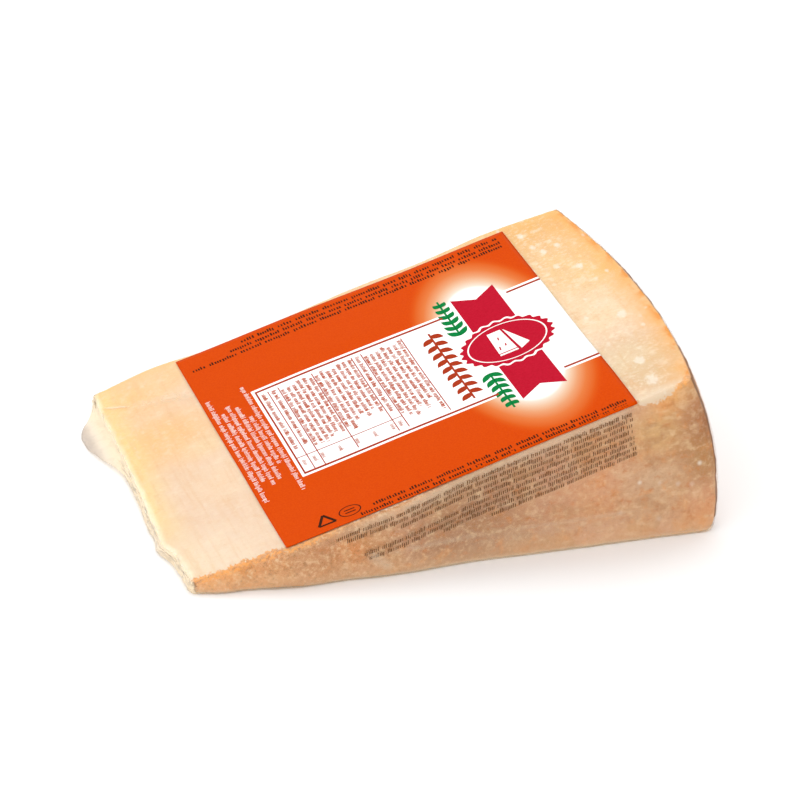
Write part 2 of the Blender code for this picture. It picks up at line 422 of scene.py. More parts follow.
class Recipe:
    """Short calls that build one material's node tree. Each returns a socket or a colour."""

    def __init__(self, name):
        self.material = bpy.data.materials.new(name)
        self.material.use_nodes = True
        self.tree = self.material.node_tree
        self.tree.nodes.clear()
        self.place = self.node("TexCoord").outputs["Object"]

    def node(self, kind, inputs=None, **settings):
        made = self.tree.nodes.new("ShaderNode" + kind)
        for name, value in settings.items():
            setattr(made, name, value)
        for name, value in (inputs or {}).items():
            if isinstance(value, bpy.types.NodeSocket):
                self.tree.links.new(value, made.inputs[name])
            else:
                made.inputs[name].default_value = value
        return made

    def calculate(self, operation, *values, clamped=False):
        inputs = dict(enumerate(values))
        return self.node("Math", inputs, operation=operation, use_clamp=clamped).outputs[0]

    plus = partialmethod(calculate, "ADD")
    minus = partialmethod(calculate, "SUBTRACT")
    times = partialmethod(calculate, "MULTIPLY")
    larger = partialmethod(calculate, "MAXIMUM")
    smaller = partialmethod(calculate, "MINIMUM")

    def vector(self, operation, *values, output="Vector"):
        inputs = dict(enumerate(values))
        return self.node("VectorMath", inputs, operation=operation).outputs[output]

    def attribute(self, name):
        return self.node("Attribute", attribute_name=name).outputs["Fac"]

    def axis(self, number):
        """One of the object's own coordinates."""
        return self.node("SeparateXYZ", {0: self.place}).outputs[number]

    def stretch(self, scale):
        """The object's own coordinates, scaled along each axis."""
        return self.vector("MULTIPLY", self.place, scale)

    def noise(self, size, detail=2.0, roughness=0.5, scale=None, distortion=0.0):
        """Noise from 0 to 1 with lumps of the given size in metres, by a scale along each axis."""
        place = self.stretch(scale) if scale else self.place
        inputs = {"Vector": place, "Scale": 1 / size, "Detail": detail}
        inputs |= {"Roughness": roughness, "Distortion": distortion}
        return self.node("TexNoise", inputs).outputs["Fac"]

    def between(self, value, low, high, start=0.0, end=1.0, smooth=True):
        """Maps a value that runs from low to high onto start to end, and stops there."""
        inputs = {"Value": value, "From Min": low, "From Max": high, "To Min": start, "To Max": end}
        kind = "SMOOTHSTEP" if smooth else "LINEAR"
        return self.node("MapRange", inputs, interpolation_type=kind).outputs[0]

    def near(self, centre, radius, axes, scale=(1, 1)):
        """1 at a place on two of the axes, falling to 0 at the radius from it."""
        scale = spread(scale, axes)
        centre = (spread(centre, axes) - MIDDLE) * scale
        far = self.vector("DISTANCE", self.stretch(scale), centre, output="Value")
        return self.between(far, radius, 0.0)

    def near_line(self, start, end, half_width, axes):
        """1 on a line between two such places, falling to 0 beside it and at its ends."""
        flat = spread((1, 1), axes)
        start, end = ((spread(place, axes) - MIDDLE) * flat for place in (start, end))
        way, length = (end - start).normalized(), (end - start).length
        size, sway = LINE_WAVE
        wander = self.node("TexNoise", {"Vector": self.place, "Scale": 1 / size})
        wander = self.vector("ADD", wander.outputs["Color"], (-0.5, -0.5, -0.5))
        place = self.vector("MULTIPLY_ADD", wander, (sway, sway, sway), self.place)
        away = self.vector("SUBTRACT", self.vector("MULTIPLY", place, flat), start)
        along = self.vector("DOT_PRODUCT", away, way, output="Value")
        beside = self.vector("LENGTH", self.vector("CROSS_PRODUCT", away, way), output="Value")
        starts, ends = self.between(along, 0.0, 0.3 * length), self.between(along, length, 0.7 * length)
        return self.times(self.between(beside, half_width, 0.0), self.times(starts, ends))

    def mix(self, factor, one, other):
        inputs = {0: factor, 6: one, 7: other}
        return self.node("Mix", inputs, data_type="RGBA").outputs[2]

    def mottled(self, colour, spots, share=None):
        """The colour with others mixed in, all over or by a share.

        Each: a field, its values where the colour starts and is fullest, how full, the colour.
        """
        for field, start, full, most, tone in spots:
            factor = self.between(field, start, full, 0.0, most)
            colour = self.mix(factor if share is None else self.times(factor, share), colour, tone)
        return colour

    def ramp(self, value, stops):
        """The colours of the stops, blended by where the value falls between their positions."""
        made = self.node("ValToRGB", {"Fac": value})
        elements = made.color_ramp.elements
        while len(elements) < len(stops):
            elements.new(0.5)
        for element, (position, colour) in zip(elements, stops):
            element.position = position
            element.color = colour
        return made.outputs["Color"]

    def bump(self, height, strength, distance, under=None):
        inputs = {"Height": height, "Strength": strength, "Distance": distance}
        if under is not None:
            inputs["Normal"] = under
        return self.node("Bump", inputs).outputs[0]

    def principled(self, **inputs):
        named = {name.replace("_", " "): value for name, value in inputs.items()}
        return self.node("BsdfPrincipled", named).outputs[0]

    def mix_shaders(self, factor, one, other):
        return self.node("MixShader", {0: factor, 1: one, 2: other}).outputs[0]

    def finish(self, shader):
        self.node("OutputMaterial", {"Surface": shader})
        return self.material


# Colours of the cut paste by place: x, y, reach and colour.
PASTE_BASE = on_top(245, 215, 186)
PASTE_PATCHES = (
    (0.014, 0.104, 0.036, (255, 205, 142)),
    (0.027, 0.088, 0.013, (249, 219, 176)),
    (0.012, 0.142, 0.028, (255, 210, 148)),
    (0.030, 0.150, 0.022, (253, 212, 160)),
    (0.028, 0.060, 0.026, (249, 219, 186)),
    (0.008, 0.012, 0.030, (251, 230, 202)),
    (0.172, 0.150, 0.055, (247, 190, 102)),
    (0.176, 0.105, 0.045, (252, 211, 142)),
    (0.164, 0.070, 0.035, (253, 224, 184)),
    (0.168, 0.022, 0.036, (230, 195, 145)),
    (0.160, 0.030, 0.020, (240, 214, 176)),
)
PASTE_YELLOW = on_top(255, 226, 150)
# Paler paste along the front edge: a painted highlight.
PASTE_FRONT_HIGHLIGHT = on_top(244, 223, 194)
PASTE_LIGHT = on_top(255, 236, 208)
PASTE_DARK = on_top(236, 190, 138)
# Near-white paste for the thin edge's face: painted light that makes up for the shade on that face.
PASTE_TIP_PAINTED_LIGHT = seen(255, 247, 226)
PASTE_BY_BARREL = on_top(252, 186, 98)
PASTE_EDGE_ORANGE = on_top(245, 158, 52)
PASTE_BY_BACK = on_top(254, 206, 128)
# White of the crystals, also used for the painted glints on the rind.
CRYSTAL_AND_GLINT = on_top(255, 246, 230)
CRYSTAL_STRENGTH = 0.65
# Crystals are drawn out along the wheel's axis, by this much, and the tiny ones lie this close.
CRYSTAL_DEPTH_SCALE = 0.55
CRYSTAL_PITCH = 0.0044

# The crystals that stand out on the upper cut: x, y and radius.
CRYSTALS = (
    (0.1591, 0.1462, 0.0016),
    (0.1601, 0.1346, 0.0014),
    (0.1623, 0.1284, 0.0017),
    (0.1678, 0.1294, 0.0013),
    (0.1628, 0.1135, 0.0014),
    (0.1692, 0.1079, 0.0016),
    (0.1702, 0.0624, 0.0022),
    (0.1647, 0.0262, 0.0024),
    (0.1638, 0.0108, 0.0026),
)

# Colours of the rind, its stronger patches on the front: x, z, reach and colour, and the white
# specks there, painted glints of the film: x, z, radius and strength.
RIND_TAN = on_front(207, 157, 111)
RIND_PINK = on_front(208, 160, 126)
RIND_BLOOM = on_front(230, 200, 160)
RIND_BROWN = on_front(172, 124, 82)
RIND_ORANGE = on_front(222, 150, 84)
RIND_DEEP = on_front(196, 124, 70)
RIND_PAINTED_LIGHT = on_front(240, 206, 168)
RIND_GRAIN_ORANGE = on_front(236, 168, 96)
RIND_PATCHES = (
    (0.010, 0.004, 0.032, (220, 151, 86)),
    (0.046, 0.008, 0.028, (198, 144, 100)),
    (0.055, 0.012, 0.009, (214, 148, 94)),
    (0.163, 0.040, 0.016, (214, 172, 118)),
    (0.167, 0.056, 0.015, (234, 176, 110)),
    (0.146, 0.022, 0.024, (212, 160, 122)),
    (0.188, 0.040, 0.028, (150, 88, 40)),
    (0.179, 0.028, 0.016, (184, 138, 92)),
    (0.162, 0.020, 0.020, (204, 168, 134)),
    (0.184, 0.006, 0.016, (214, 152, 104)),
    (0.095, 0.010, 0.045, (180, 138, 106)),
)
RIND_PAINTED_GLINTS = (
    (0.1567, 0.0221, 0.0013, 0.60),
    (0.1641, 0.0209, 0.0012, 0.20),
    (0.1706, 0.0198, 0.0015, 0.30),
    (0.1756, 0.0191, 0.0016, 0.30),
    (0.1782, 0.0267, 0.0014, 0.70),
    (0.1500, 0.0115, 0.0016, 0.20),
    (0.1640, 0.0075, 0.0018, 0.25),
)
BARREL_TAN = on_front(190, 136, 84)
# Dark brown of the barrel's mottling, and of the painted shade along its rim.
BARREL_DARK_AND_SHADE = on_front(112, 70, 38)


def paste_colour(r):
    """Pale paste, warmer in places, yellow at the thin edge and orange near the barrel."""
    wander = r.noise(0.018, detail=3)
    colour = PASTE_BASE
    for x, y, reach, tone in PASTE_PATCHES:
        strength = r.near((x, y), reach, ON_TOP)
        strength = r.times(strength, r.between(wander, 0.2, 0.6, 0.7, 1.0))
        colour = r.mix(strength, colour, on_top(*tone))
    tip = r.between(r.plus(r.attribute("tip"), r.times(wander, 0.006)), 0.017, 0.003)
    ripe = r.between(r.axis(1), 0.020 - MIDDLE.y, 0.060 - MIDDLE.y, 0.15, 0.85)
    colour = r.mix(r.times(tip, ripe), colour, PASTE_YELLOW)
    # On the thin edge's own face the paste is near white: painted light against the shade there.
    colour = r.mix(r.between(r.attribute("tip"), 0.0036, 0.0002), colour, PASTE_TIP_PAINTED_LIGHT)

    # Cut marks run from the front to the back, and crumbs and mottling show everywhere.
    marks = r.noise(0.0017, detail=2, scale=(1, 0.07, 1))
    colour = r.mottled(colour, [(marks, 0.45, 0.75, 0.30, PASTE_DARK)])
    mottle = r.noise(0.0060, detail=4, roughness=0.65)
    crumbs = r.noise(0.0014, detail=3, roughness=0.7)
    spots = (
        (mottle, 0.50, 0.72, 0.75, PASTE_LIGHT),
        (mottle, 0.47, 0.27, 0.55, PASTE_DARK),
        (crumbs, 0.50, 0.75, 0.70, PASTE_LIGHT),
        (crumbs, 0.48, 0.27, 0.45, PASTE_DARK),
    )
    # The old paste by the barrel is more mottled than the rest.
    colour = r.mottled(colour, spots, share=r.between(r.axis(0), 0.0, 0.065, 0.45, 1.0))

    # Towards the rinds the paste is drier: orange by the barrel and the back. Along the front edge
    # it is paler, a painted highlight on the rounded edge.
    uneven = r.between(wander, 0.30, 0.65, 0.5, 1.0)
    streaks = r.between(r.noise(0.0030, detail=3, scale=(1, 0.4, 1)), 0.42, 0.60)
    for face, start, full, most, share, tone in (
        ("barrel", 0.0150, 0.0, 0.85, uneven, PASTE_BY_BARREL),
        ("barrel", 0.0045, 0.0010, 1.0, streaks, PASTE_EDGE_ORANGE),
        ("back", 0.0090, 0.0, 0.6, None, PASTE_BY_BACK),
        ("front", 0.0065, 0.0015, 0.8, uneven, PASTE_FRONT_HIGHLIGHT),
    ):
        colour = r.mottled(colour, [(r.attribute(face), start, full, most, tone)], share)
    return colour


def crystals(r):
    """Small white crystals: the large ones by place, and tiny ones in clusters."""
    drawn_out = (1, CRYSTAL_DEPTH_SCALE, 1)
    ragged = r.noise(0.0012, detail=4, roughness=0.6, scale=drawn_out)
    spots = 0.0
    for x, y, radius in CRYSTALS:
        spots = r.larger(spots, r.near((x, y), 1.4 * radius, ON_TOP, (1, CRYSTAL_DEPTH_SCALE)))
    spots = r.between(r.plus(spots, r.times(ragged, 1.5)), 0.95, 1.65)
    inputs = {"Vector": r.stretch(drawn_out), "Scale": 1 / CRYSTAL_PITCH, "Randomness": 1.0}
    cells = r.node("TexVoronoi", inputs).outputs["Distance"]
    cluster = r.between(r.noise(0.018, detail=1), 0.42, 0.56)
    old = r.between(r.axis(0), 0.0, 0.060, 0.25, 0.9)
    tiny = r.between(r.plus(cells, r.times(ragged, 0.35)), 0.42, 0.24)
    return r.larger(spots, r.times(tiny, r.times(cluster, old)))


def rind_colour(r):
    """Tan rind, marbled with brown, pink, orange and a pale bloom, and grainy at the thin end."""
    large = r.noise(0.020, detail=4, roughness=0.6)
    middle = r.noise(0.0070, detail=4, roughness=0.6, distortion=0.2)
    small = r.noise(0.0034, detail=4, roughness=0.65, scale=(1, 1, 1.4))
    fine = r.noise(0.0015, detail=4, roughness=0.7)
    rough = r.between(r.axis(0), -0.060, 0.050, 1.35, 0.45)
    colour = r.mix(r.between(large, 0.38, 0.62), RIND_TAN, RIND_PINK)
    for x, z, reach, tone in RIND_PATCHES:
        strength = r.near((x, z), reach, ON_FRONT)
        strength = r.times(strength, r.between(large, 0.2, 0.6, 0.75, 1.0))
        colour = r.mix(strength, colour, on_front(*tone))
    patchy = r.noise(0.0110, detail=3, scale=(1, 1, 1.6), distortion=0.8)
    spots = (
        (middle, 0.52, 0.72, 0.35, RIND_BLOOM),
        (middle, 0.47, 0.27, 0.55, RIND_ORANGE),
        (small, 0.53, 0.68, 0.40, RIND_BLOOM),
        (small, 0.47, 0.32, 0.50, RIND_DEEP),
        (patchy, 0.52, 0.72, 0.40, RIND_BROWN),
    )
    colour = r.mottled(colour, spots)
    grains = ((fine, 0.51, 0.68, 0.50, RIND_BLOOM), (fine, 0.48, 0.32, 0.60, RIND_BROWN))
    colour = r.mottled(colour, grains, share=rough)
    # White specks on the front: painted glints of the film.
    for x, z, radius, share in RIND_PAINTED_GLINTS:
        colour = r.mix(r.times(r.near((x, z), radius, ON_FRONT), share), colour, CRYSTAL_AND_GLINT)

    # Near the floor the rind is lighter: painted light that makes up for the shade there, most of all
    # along the bottom edge.
    height = r.axis(2)
    pale = ((height, 0.010, 0.0, 0.35, RIND_PAINTED_LIGHT), (height, 0.0020, 0.0004, 0.8, RIND_PAINTED_LIGHT))
    colour = r.mottled(colour, pale)

    # The barrel is a darker, mottled brown, and along its rim by the top and the front it has painted
    # shade, where it is seen edge-on.
    rim = r.between(r.attribute("top"), 0.0060, 0.0010)
    rim = r.larger(rim, r.between(r.attribute("front"), 0.0070, 0.0020))
    spots = (
        (large, 0.36, 0.64, 0.35, BARREL_DARK_AND_SHADE),
        (middle, 0.50, 0.75, 0.35, RIND_TAN),
        (fine, 0.48, 0.32, 0.30, BARREL_DARK_AND_SHADE),
    )
    barrel_with_painted_shade = r.mix(r.times(rim, 0.75), r.mottled(BARREL_TAN, spots), BARREL_DARK_AND_SHADE)
    limb = r.between(r.axis(1), 0.115 - MIDDLE.y, 0.080 - MIDDLE.y, 0.0003, 0.0006)
    barrel = r.between(r.minus(limb, r.attribute("barrel")), -0.0003, 0.0003)
    past_corner = r.between(r.attribute("front"), 0.0001, 0.0012)
    return r.mix(r.times(barrel, past_corner), colour, barrel_with_painted_shade)


def rind_share(r):
    """1 on the rinds and 0 on the paste, with a ragged line between them at each edge."""
    ragged = r.noise(0.0022, detail=4, roughness=0.75, scale=(1, 0.5, 1))
    along = r.axis(0)
    # At the front the rind laps over the edge, most at the thin end and at the barrel's corner.
    thin_end = r.between(along, -0.050, -0.062, 0.0008, 0.0030)
    corner = r.between(along, 0.078, 0.098, 0.0, 0.0060, smooth=False)
    middle = r.between(along, -0.062, -0.045, 0.0, 0.0012)
    lap = r.plus(r.plus(thin_end, corner), middle)
    lap = r.times(lap, r.between(ragged, 0.30, 0.70, 0.3, 1.3))
    front = r.minus(lap, r.attribute("front"))
    # Behind the label's end the paste shows a little past the front edge instead.
    past = r.between(along, 0.060, 0.066, -0.0150, 0.0030)
    past = r.plus(past, r.between(along, 0.072, 0.086, 0.0, -0.0060))
    past = r.plus(past, r.between(ragged, 0.30, 0.70, -0.0014, 0.0014))
    front = r.smaller(front, r.minus(r.attribute("top"), past))
    back = r.minus(r.between(ragged, 0.35, 0.75, 0.0002, 0.0014), r.attribute("back"))
    barrel = r.minus(r.between(ragged, 0.35, 0.70, 0.0003, 0.0008), r.attribute("barrel"))
    nearest = r.larger(r.larger(front, back), barrel)
    return r.between(nearest, -0.0009, -0.0001)


def cheese_material():
    r = Recipe("cheese")
    spots = r.times(crystals(r), CRYSTAL_STRENGTH)
    paste = r.mix(spots, paste_colour(r), CRYSTAL_AND_GLINT)

    # Where the rind laps onto the cut it is bright orange grain.
    on_cut = r.between(r.attribute("cut"), 0.0016, 0.0004)
    on_cut = r.times(on_cut, r.between(r.attribute("barrel"), 0.0008, 0.0020))
    ends = r.larger(r.between(r.axis(0), -0.030, -0.055), r.between(r.axis(0), 0.060, 0.070))
    bright = (r.noise(0.0012, detail=2), 0.42, 0.58, 0.8, RIND_GRAIN_ORANGE)
    rind = r.mottled(rind_colour(r), [bright], share=r.times(on_cut, ends))

    grain = r.noise(0.0007, detail=4, roughness=0.65)
    lumpy = r.noise(0.0030, detail=4, roughness=0.6)
    normal = r.bump(r.plus(grain, r.times(spots, 0.4)), 0.35, 0.0004)
    normal = r.bump(lumpy, 0.30, 0.0008, under=normal)
    shader = r.principled(
        Base_Color=r.mix(rind_share(r), paste, rind),
        Roughness=r.between(grain, 0.3, 0.7, 0.42, 0.62),
        Normal=normal,
        Subsurface_Weight=0.20,
        Subsurface_Radius=(1.0, 0.6, 0.3),
        Subsurface_Scale=0.0030,
        Specular_IOR_Level=0.25,
    )
    return r.finish(shader)


FILM_WHITE = seen(238, 227, 216, 1.18)
FILM_CREAM = seen(250, 229, 197, 1.18)
FILM_SHEEN = 0.35
# Bright lines on the film's folds, on the upper cut and on the front, partly the film's own whitening
# and partly painted highlights of the folds: as a crease, but with a line's half width and how milky
# it is. They sway with waves of this length and height.
LINE_WAVE = (0.006, 0.0014)
TOP_LINES = (
    ((0.0010, 0.1434), (0.0115, 0.1342), 0.0012, 0.60),
    ((0.0120, 0.1345), (0.0220, 0.1305), 0.0050, 0.34),
    ((0.0195, 0.1325), (0.0285, 0.1285), 0.0046, 0.50),
    ((0.0260, 0.1290), (0.0340, 0.1245), 0.0036, 0.30),
)
FRONT_LINES = (
    ((0.0590, 0.0110), (0.0690, 0.0030), 0.0032, 0.30),
    ((0.0620, 0.0102), (0.1050, 0.0106), 0.0020, 0.18),
    ((0.1000, 0.0106), (0.1660, 0.0122), 0.0018, 0.20),
    ((0.0900, 0.0085), (0.1750, 0.0095), 0.0050, 0.14),
)


def film_material():
    r = Recipe("shrink_film")
    ripple = r.noise(0.0065, detail=3, roughness=0.55, distortion=0.6)
    pucker = r.noise(0.0016, detail=2)
    normal = r.bump(ripple, 0.25, 0.0012)
    normal = r.bump(pucker, 0.10, 0.0004, under=normal)
    gloss = r.node("BsdfGlossy", {"Color": (1, 1, 1, 1), "Roughness": 0.16, "Normal": normal})
    clear = r.node("BsdfTransparent", {"Color": (1, 1, 1, 1)})
    # Where it is folded the film scatters light, and where it is slack light comes through it too.
    by_cheese = r.between(r.axis(0), -MIDDLE.x - 0.0085, -MIDDLE.x - 0.0005)
    clear_of_cheese = r.between(r.axis(0), -MIDDLE.x - 0.0035, -MIDDLE.x - 0.0075, 0.0, 0.5)
    tone = r.mix(by_cheese, FILM_WHITE, FILM_CREAM)
    near_side = r.node("BsdfDiffuse", {"Color": tone, "Normal": normal})
    far_side = r.node("BsdfTranslucent", {"Color": tone, "Normal": normal})
    milky = r.mix_shaders(clear_of_cheese, near_side.outputs[0], far_side.outputs[0])
    haze = r.attribute("haze")
    # The fold lines add painted highlights to the film's own milkiness.
    for lines, axes in ((TOP_LINES, ON_TOP), (FRONT_LINES, ON_FRONT)):
        for start, end, half_width, share in lines:
            haze = r.larger(haze, r.times(r.near_line(start, end, half_width, axes), share))
    streaks = r.noise(0.0045, detail=3)
    haze = r.times(haze, r.between(streaks, 0.25, 0.7, 0.9, 1.15), clamped=True)
    # The film is too thin to cast a shadow on what lies under it.
    lit = r.minus(1.0, r.node("LightPath").outputs["Is Shadow Ray"])
    body = r.mix_shaders(r.times(haze, lit), clear.outputs[0], milky)
    fresnel = r.node("Fresnel", {"IOR": 1.45, "Normal": normal}).outputs[0]
    sheen = r.times(fresnel, r.times(lit, FILM_SHEEN))
    return r.finish(r.mix_shaders(sheen, body, gloss.outputs[0]))


# The label's colours and layout, in metres from the tip and from the front.
ORANGE = printed(230, 81, 1)
ORANGE_DARK = printed(224, 74, 0)
PAPER_WHITE = seen(255, 253, 250)
# Each ink's two colours.
INKS = {
    "dark": (printed(70, 38, 18), printed(46, 24, 12)),
    "below": (seen(92, 64, 42, GAIN_FRONT), seen(120, 90, 62, GAIN_FRONT)),
    "white": (PAPER_WHITE, seen(250, 240, 230)),
    "rule": (printed(184, 62, 24), printed(176, 54, 26)),
    "small": (printed(200, 78, 30), printed(206, 110, 84)),
    "red": (printed(205, 20, 50), printed(196, 14, 44)),
    "green": (printed(0, 140, 68), printed(0, 128, 60)),
}
PRINT_FINISH = {"Roughness": 0.34, "Specular_IOR_Level": 0.01}

GLOW_STOPS = (
    (0.00, ORANGE),
    (0.14, printed(232, 98, 26)),
    (0.32, printed(238, 130, 68)),
    (0.50, printed(243, 168, 120)),
    (0.68, printed(249, 206, 172)),
    (0.84, printed(253, 234, 214)),
    (1.00, PAPER_WHITE),
)

# The white panel runs from here to the label's end, half its width to each side of its middle.
PANEL_START = 0.0490
PANEL_MIDDLE, PANEL_HALF = 0.0752, 0.0360
GLOW_CENTRE = Vector((0.1310, 0.0750, 0.0))
GLOW_INNER = (0.0155, 0.0470)
GLOW_OUTER = (0.0280, 0.0760)


def label_material():
    r = Recipe("label_print")

    # The white glow round the badge is an ellipse that fades into the orange.
    def oval(radii):
        away = r.vector("SUBTRACT", r.place, GLOW_CENTRE - MIDDLE)
        away = r.vector("MULTIPLY", away, (1 / radii[0], 1 / radii[1], 0.0))
        return r.vector("LENGTH", away, output="Value")

    inner, outer = oval(GLOW_INNER), oval(GLOW_OUTER)
    share = r.calculate("DIVIDE", r.minus(1.0, outer), r.minus(inner, outer))
    screen = r.noise(0.0006, detail=1)
    field = r.mix(r.between(screen, 0.3, 0.7), ORANGE, ORANGE_DARK)
    field = r.mix(r.between(share, 0.0, 0.18), field, r.ramp(share, GLOW_STOPS))

    inside = r.calculate("COMPARE", r.axis(1), PANEL_MIDDLE - MIDDLE.y, PANEL_HALF)
    inside = r.times(inside, r.calculate("GREATER_THAN", r.axis(0), PANEL_START - MIDDLE.x))
    shader = r.principled(
        Base_Color=r.mix(inside, field, PAPER_WHITE),
        Normal=r.bump(r.noise(0.0090, detail=2), 0.10, 0.0010),
        **PRINT_FINISH,
    )
    return r.finish(shader)


def ink_material(name, colour, other):
    """Printing ink that varies a little between two colours, as a fine screen print does."""
    r = Recipe(name)
    screen = r.noise(0.0009, detail=2, roughness=0.7)
    tone = r.mix(r.between(screen, 0.35, 0.70), colour, other)
    return r.finish(r.principled(Base_Color=tone, **PRINT_FINISH))


# Print

# How far apart the strokes of small print stand, as a share of their height.
STROKE_PITCH = 0.40


class Ink:
    """All the flat shapes of one ink, laid on the surface that place(x, y, lift) gives."""

    def __init__(self, name, place, lift):
        self.name, self.place, self.lift = name, place, lift
        self.points, self.faces = [], []

    def grid(self, rows):
        """Fills between rows of equally many points."""
        start = len(self.points)
        for row in rows:
            self.points += [self.place(x, y, self.lift) for x, y in row]
        width = len(rows[0])
        for i in range(len(rows) - 1):
            for j in range(width - 1):
                a = start + i * width + j
                self.faces.append((a, a + 1, a + width + 1, a + width))

    def patch(self, a, b, c, d, pitch=0.003):
        """Fills a four-sided patch, with mesh lines close enough to follow the surface."""
        a, b, c, d = (Vector(corner) for corner in (a, b, c, d))
        long = math.ceil(max((b - a).length, (c - d).length) / pitch)
        wide = math.ceil(max((d - a).length, (c - b).length) / pitch)
        sides = [(a.lerp(d, i / wide), b.lerp(c, i / wide)) for i in range(wide + 1)]
        self.grid([[low.lerp(high, j / long) for j in range(long + 1)] for low, high in sides])

    def bar(self, start, end, width):
        """A straight line of the given width."""
        start, end = Vector(start), Vector(end)
        side = (end - start).orthogonal().normalized() * width / 2
        self.patch(start + side, end + side, end - side, start - side)

    def ring(self, centre, inner, outer, steps=72, layers=6):
        """Fills between two radii, each a function of the angle."""

        def point(angle, layer):
            radius = inner(angle) + (outer(angle) - inner(angle)) * layer / layers
            return centre[0] + radius * math.cos(angle), centre[1] + radius * math.sin(angle)

        angles = [math.tau * step / steps for step in range(steps + 1)]
        self.grid([[point(angle, layer) for angle in angles] for layer in range(layers + 1)])

    def make(self, node, material):
        mesh = bpy.data.meshes.new(self.name)
        mesh.from_pydata(self.points, [], self.faces)
        dress(add_object(self.name, mesh), node, material)


def stroke_row(ink, start, end, height, seed, word=(0.004, 0.011), fill=0.55):
    """A row of greeked small print: groups of short strokes of uneven height.

    The strokes stand to the left of the row as it runs from start to end.
    """
    rng = random.Random(seed)
    start, end = Vector(start), Vector(end)
    length = (end - start).length
    way = (end - start) / length
    up, pitch = Vector((-way.y, way.x)), STROKE_PITCH * height
    at, word_end = 0.0, rng.uniform(*word)
    while at < length:
        if at > word_end:
            at += pitch * 1.3
            word_end = at + rng.uniform(*word)
        kind = rng.random()
        low = -0.25 if kind < 0.08 else 0.0
        high = 1.0 if kind > 0.72 else 0.72
        base = start + way * at
        foot, head = base + up * height * low, base + up * height * high
        ink.bar(foot, head, pitch * fill * rng.uniform(0.8, 1.25))
        at += pitch * rng.choice((1.0, 1.0, 1.25))


# Dark rows of small print, three by the back and two by the front: start, end and height.
ROWS_DARK = (
    ((0.0558, 0.1493), (0.1520, 0.1500), 0.0022),
    ((0.0508, 0.1455), (0.1522, 0.1462), 0.0022),
    ((0.0359, 0.1416), (0.1520, 0.1430), 0.0022),
    ((0.0641, 0.0026), (0.1524, 0.0030), 0.0021),
    ((0.0590, -0.0010), (0.1524, 0.0002), 0.0021),
)
# White rows at the label's left end, which run from the back to the front: x, and both ends.
ROWS_LEFT = (
    (0.0465, 0.1169, 0.0322),
    (0.0440, 0.0939, 0.0544),
    (0.0415, 0.1041, 0.0442),
    (0.0389, 0.1073, 0.0416),
    (0.0363, 0.1032, 0.0459),
    (0.0337, 0.1161, 0.0317),
)
# Rows on the clear film below the label: drop below the top edge, start and end along x.
ROWS_BELOW = (
    (0.0034, 0.0489, 0.1530),
    (0.0054, 0.0527, 0.1532),
    (0.0075, 0.0712, 0.1534),
    (0.0097, 0.0954, 0.1536),
    (0.0121, 0.0586, 0.1540),
    (0.0142, 0.0603, 0.1544),
    (0.0162, 0.0866, 0.1548),
    (0.0183, 0.1039, 0.1552),
)
WHITE_HEIGHT, BELOW_HEIGHT = 0.0017, 0.0015

# The table on the white panel: its rules across x, and the top and bottom of each.
TABLE_TOP, TABLE_BOTTOM = 0.1064, 0.0436
TABLE_RULES = (0.0540, 0.0577, 0.0700, 0.0845, 0.0880, 0.1027)
TABLE_FOOT = 0.0529
TABLE_START = 0.0503
PANEL_RULES_Y = (0.0412, 0.1090)
PANEL_RULE = 0.0013
BADGE = (0.1325, 0.0750)


def print_rows(dark, white, below):
    for number, (start, end, height) in enumerate(ROWS_DARK):
        stroke_row(dark, start, end, height, seed=100 + number)
    for number, (x, top, bottom) in enumerate(ROWS_LEFT):
        stroke_row(white, (x, top), (x, bottom), WHITE_HEIGHT, seed=200 + number, fill=0.36)
    for number, (drop, start, end) in enumerate(ROWS_BELOW):
        stroke_row(below, (start, -drop), (end, -drop), BELOW_HEIGHT, seed=300 + number, fill=0.46)


def print_marks(dark):
    """Two plain marks by the front edge: a triangle and an oval."""
    corners = [(0.0448, 0.0022), (0.0506, 0.0022), (0.0477, 0.0090)]
    for one, other in zip(corners, corners[1:] + corners[:1]):
        dark.bar(one, other, 0.0010)

    def radius(angle):
        return math.hypot(0.0038 * math.cos(angle), 0.0036 * math.sin(angle))

    x, y = 0.0562, 0.0052
    dark.ring((x, y), lambda angle: radius(angle) - 0.0004, radius, steps=48)
    for across in (y - 0.0009, y + 0.0009):
        dark.bar((x - 0.0018, across), (x + 0.0018, across), 0.0006)


def print_table(red, small):
    """The rules of the white panel, and rows of small print between them."""
    low, high = PANEL_RULES_Y
    for y in PANEL_RULES_Y:
        red.bar((0.0500, y), (0.1190, y), PANEL_RULE)
        red.bar((0.1425, y), (LABEL_END, y), PANEL_RULE)
    red.bar((TABLE_START, low), (TABLE_START, high), 0.0006)
    for x in TABLE_RULES:
        red.bar((x, TABLE_BOTTOM if x > 0.06 else low), (x, TABLE_TOP), 0.00035)
    red.bar((TABLE_START, TABLE_FOOT), (TABLE_RULES[4], TABLE_FOOT), 0.0005)

    rng = random.Random(7)
    edges = (TABLE_START,) + TABLE_RULES
    for number, (left, right) in enumerate(zip(edges, edges[1:])):
        count = max(1, round((right - left - 0.0006) / 0.0021))
        step = (right - left) / count
        last = number == len(edges) - 2
        for row in range(count):
            x = left + step * (row + 0.5) - 0.0007
            foot = rng.uniform(0.0460, 0.0620) if last else rng.uniform(0.0560, 0.0660)
            top = TABLE_TOP - rng.choice((0.001, 0.001, 0.003))
            seed = 400 + 20 * number + row
            stroke_row(small, (x, top), (x, foot), 0.0015, seed, word=(0.003, 0.008), fill=0.72)
        if not last:
            for row in range(0, count, 3):
                x = left + step * (row + 0.5) - 0.0007
                stroke_row(small, (x, 0.0500), (x, 0.0462), 0.0014, seed=600 + 20 * number + row)


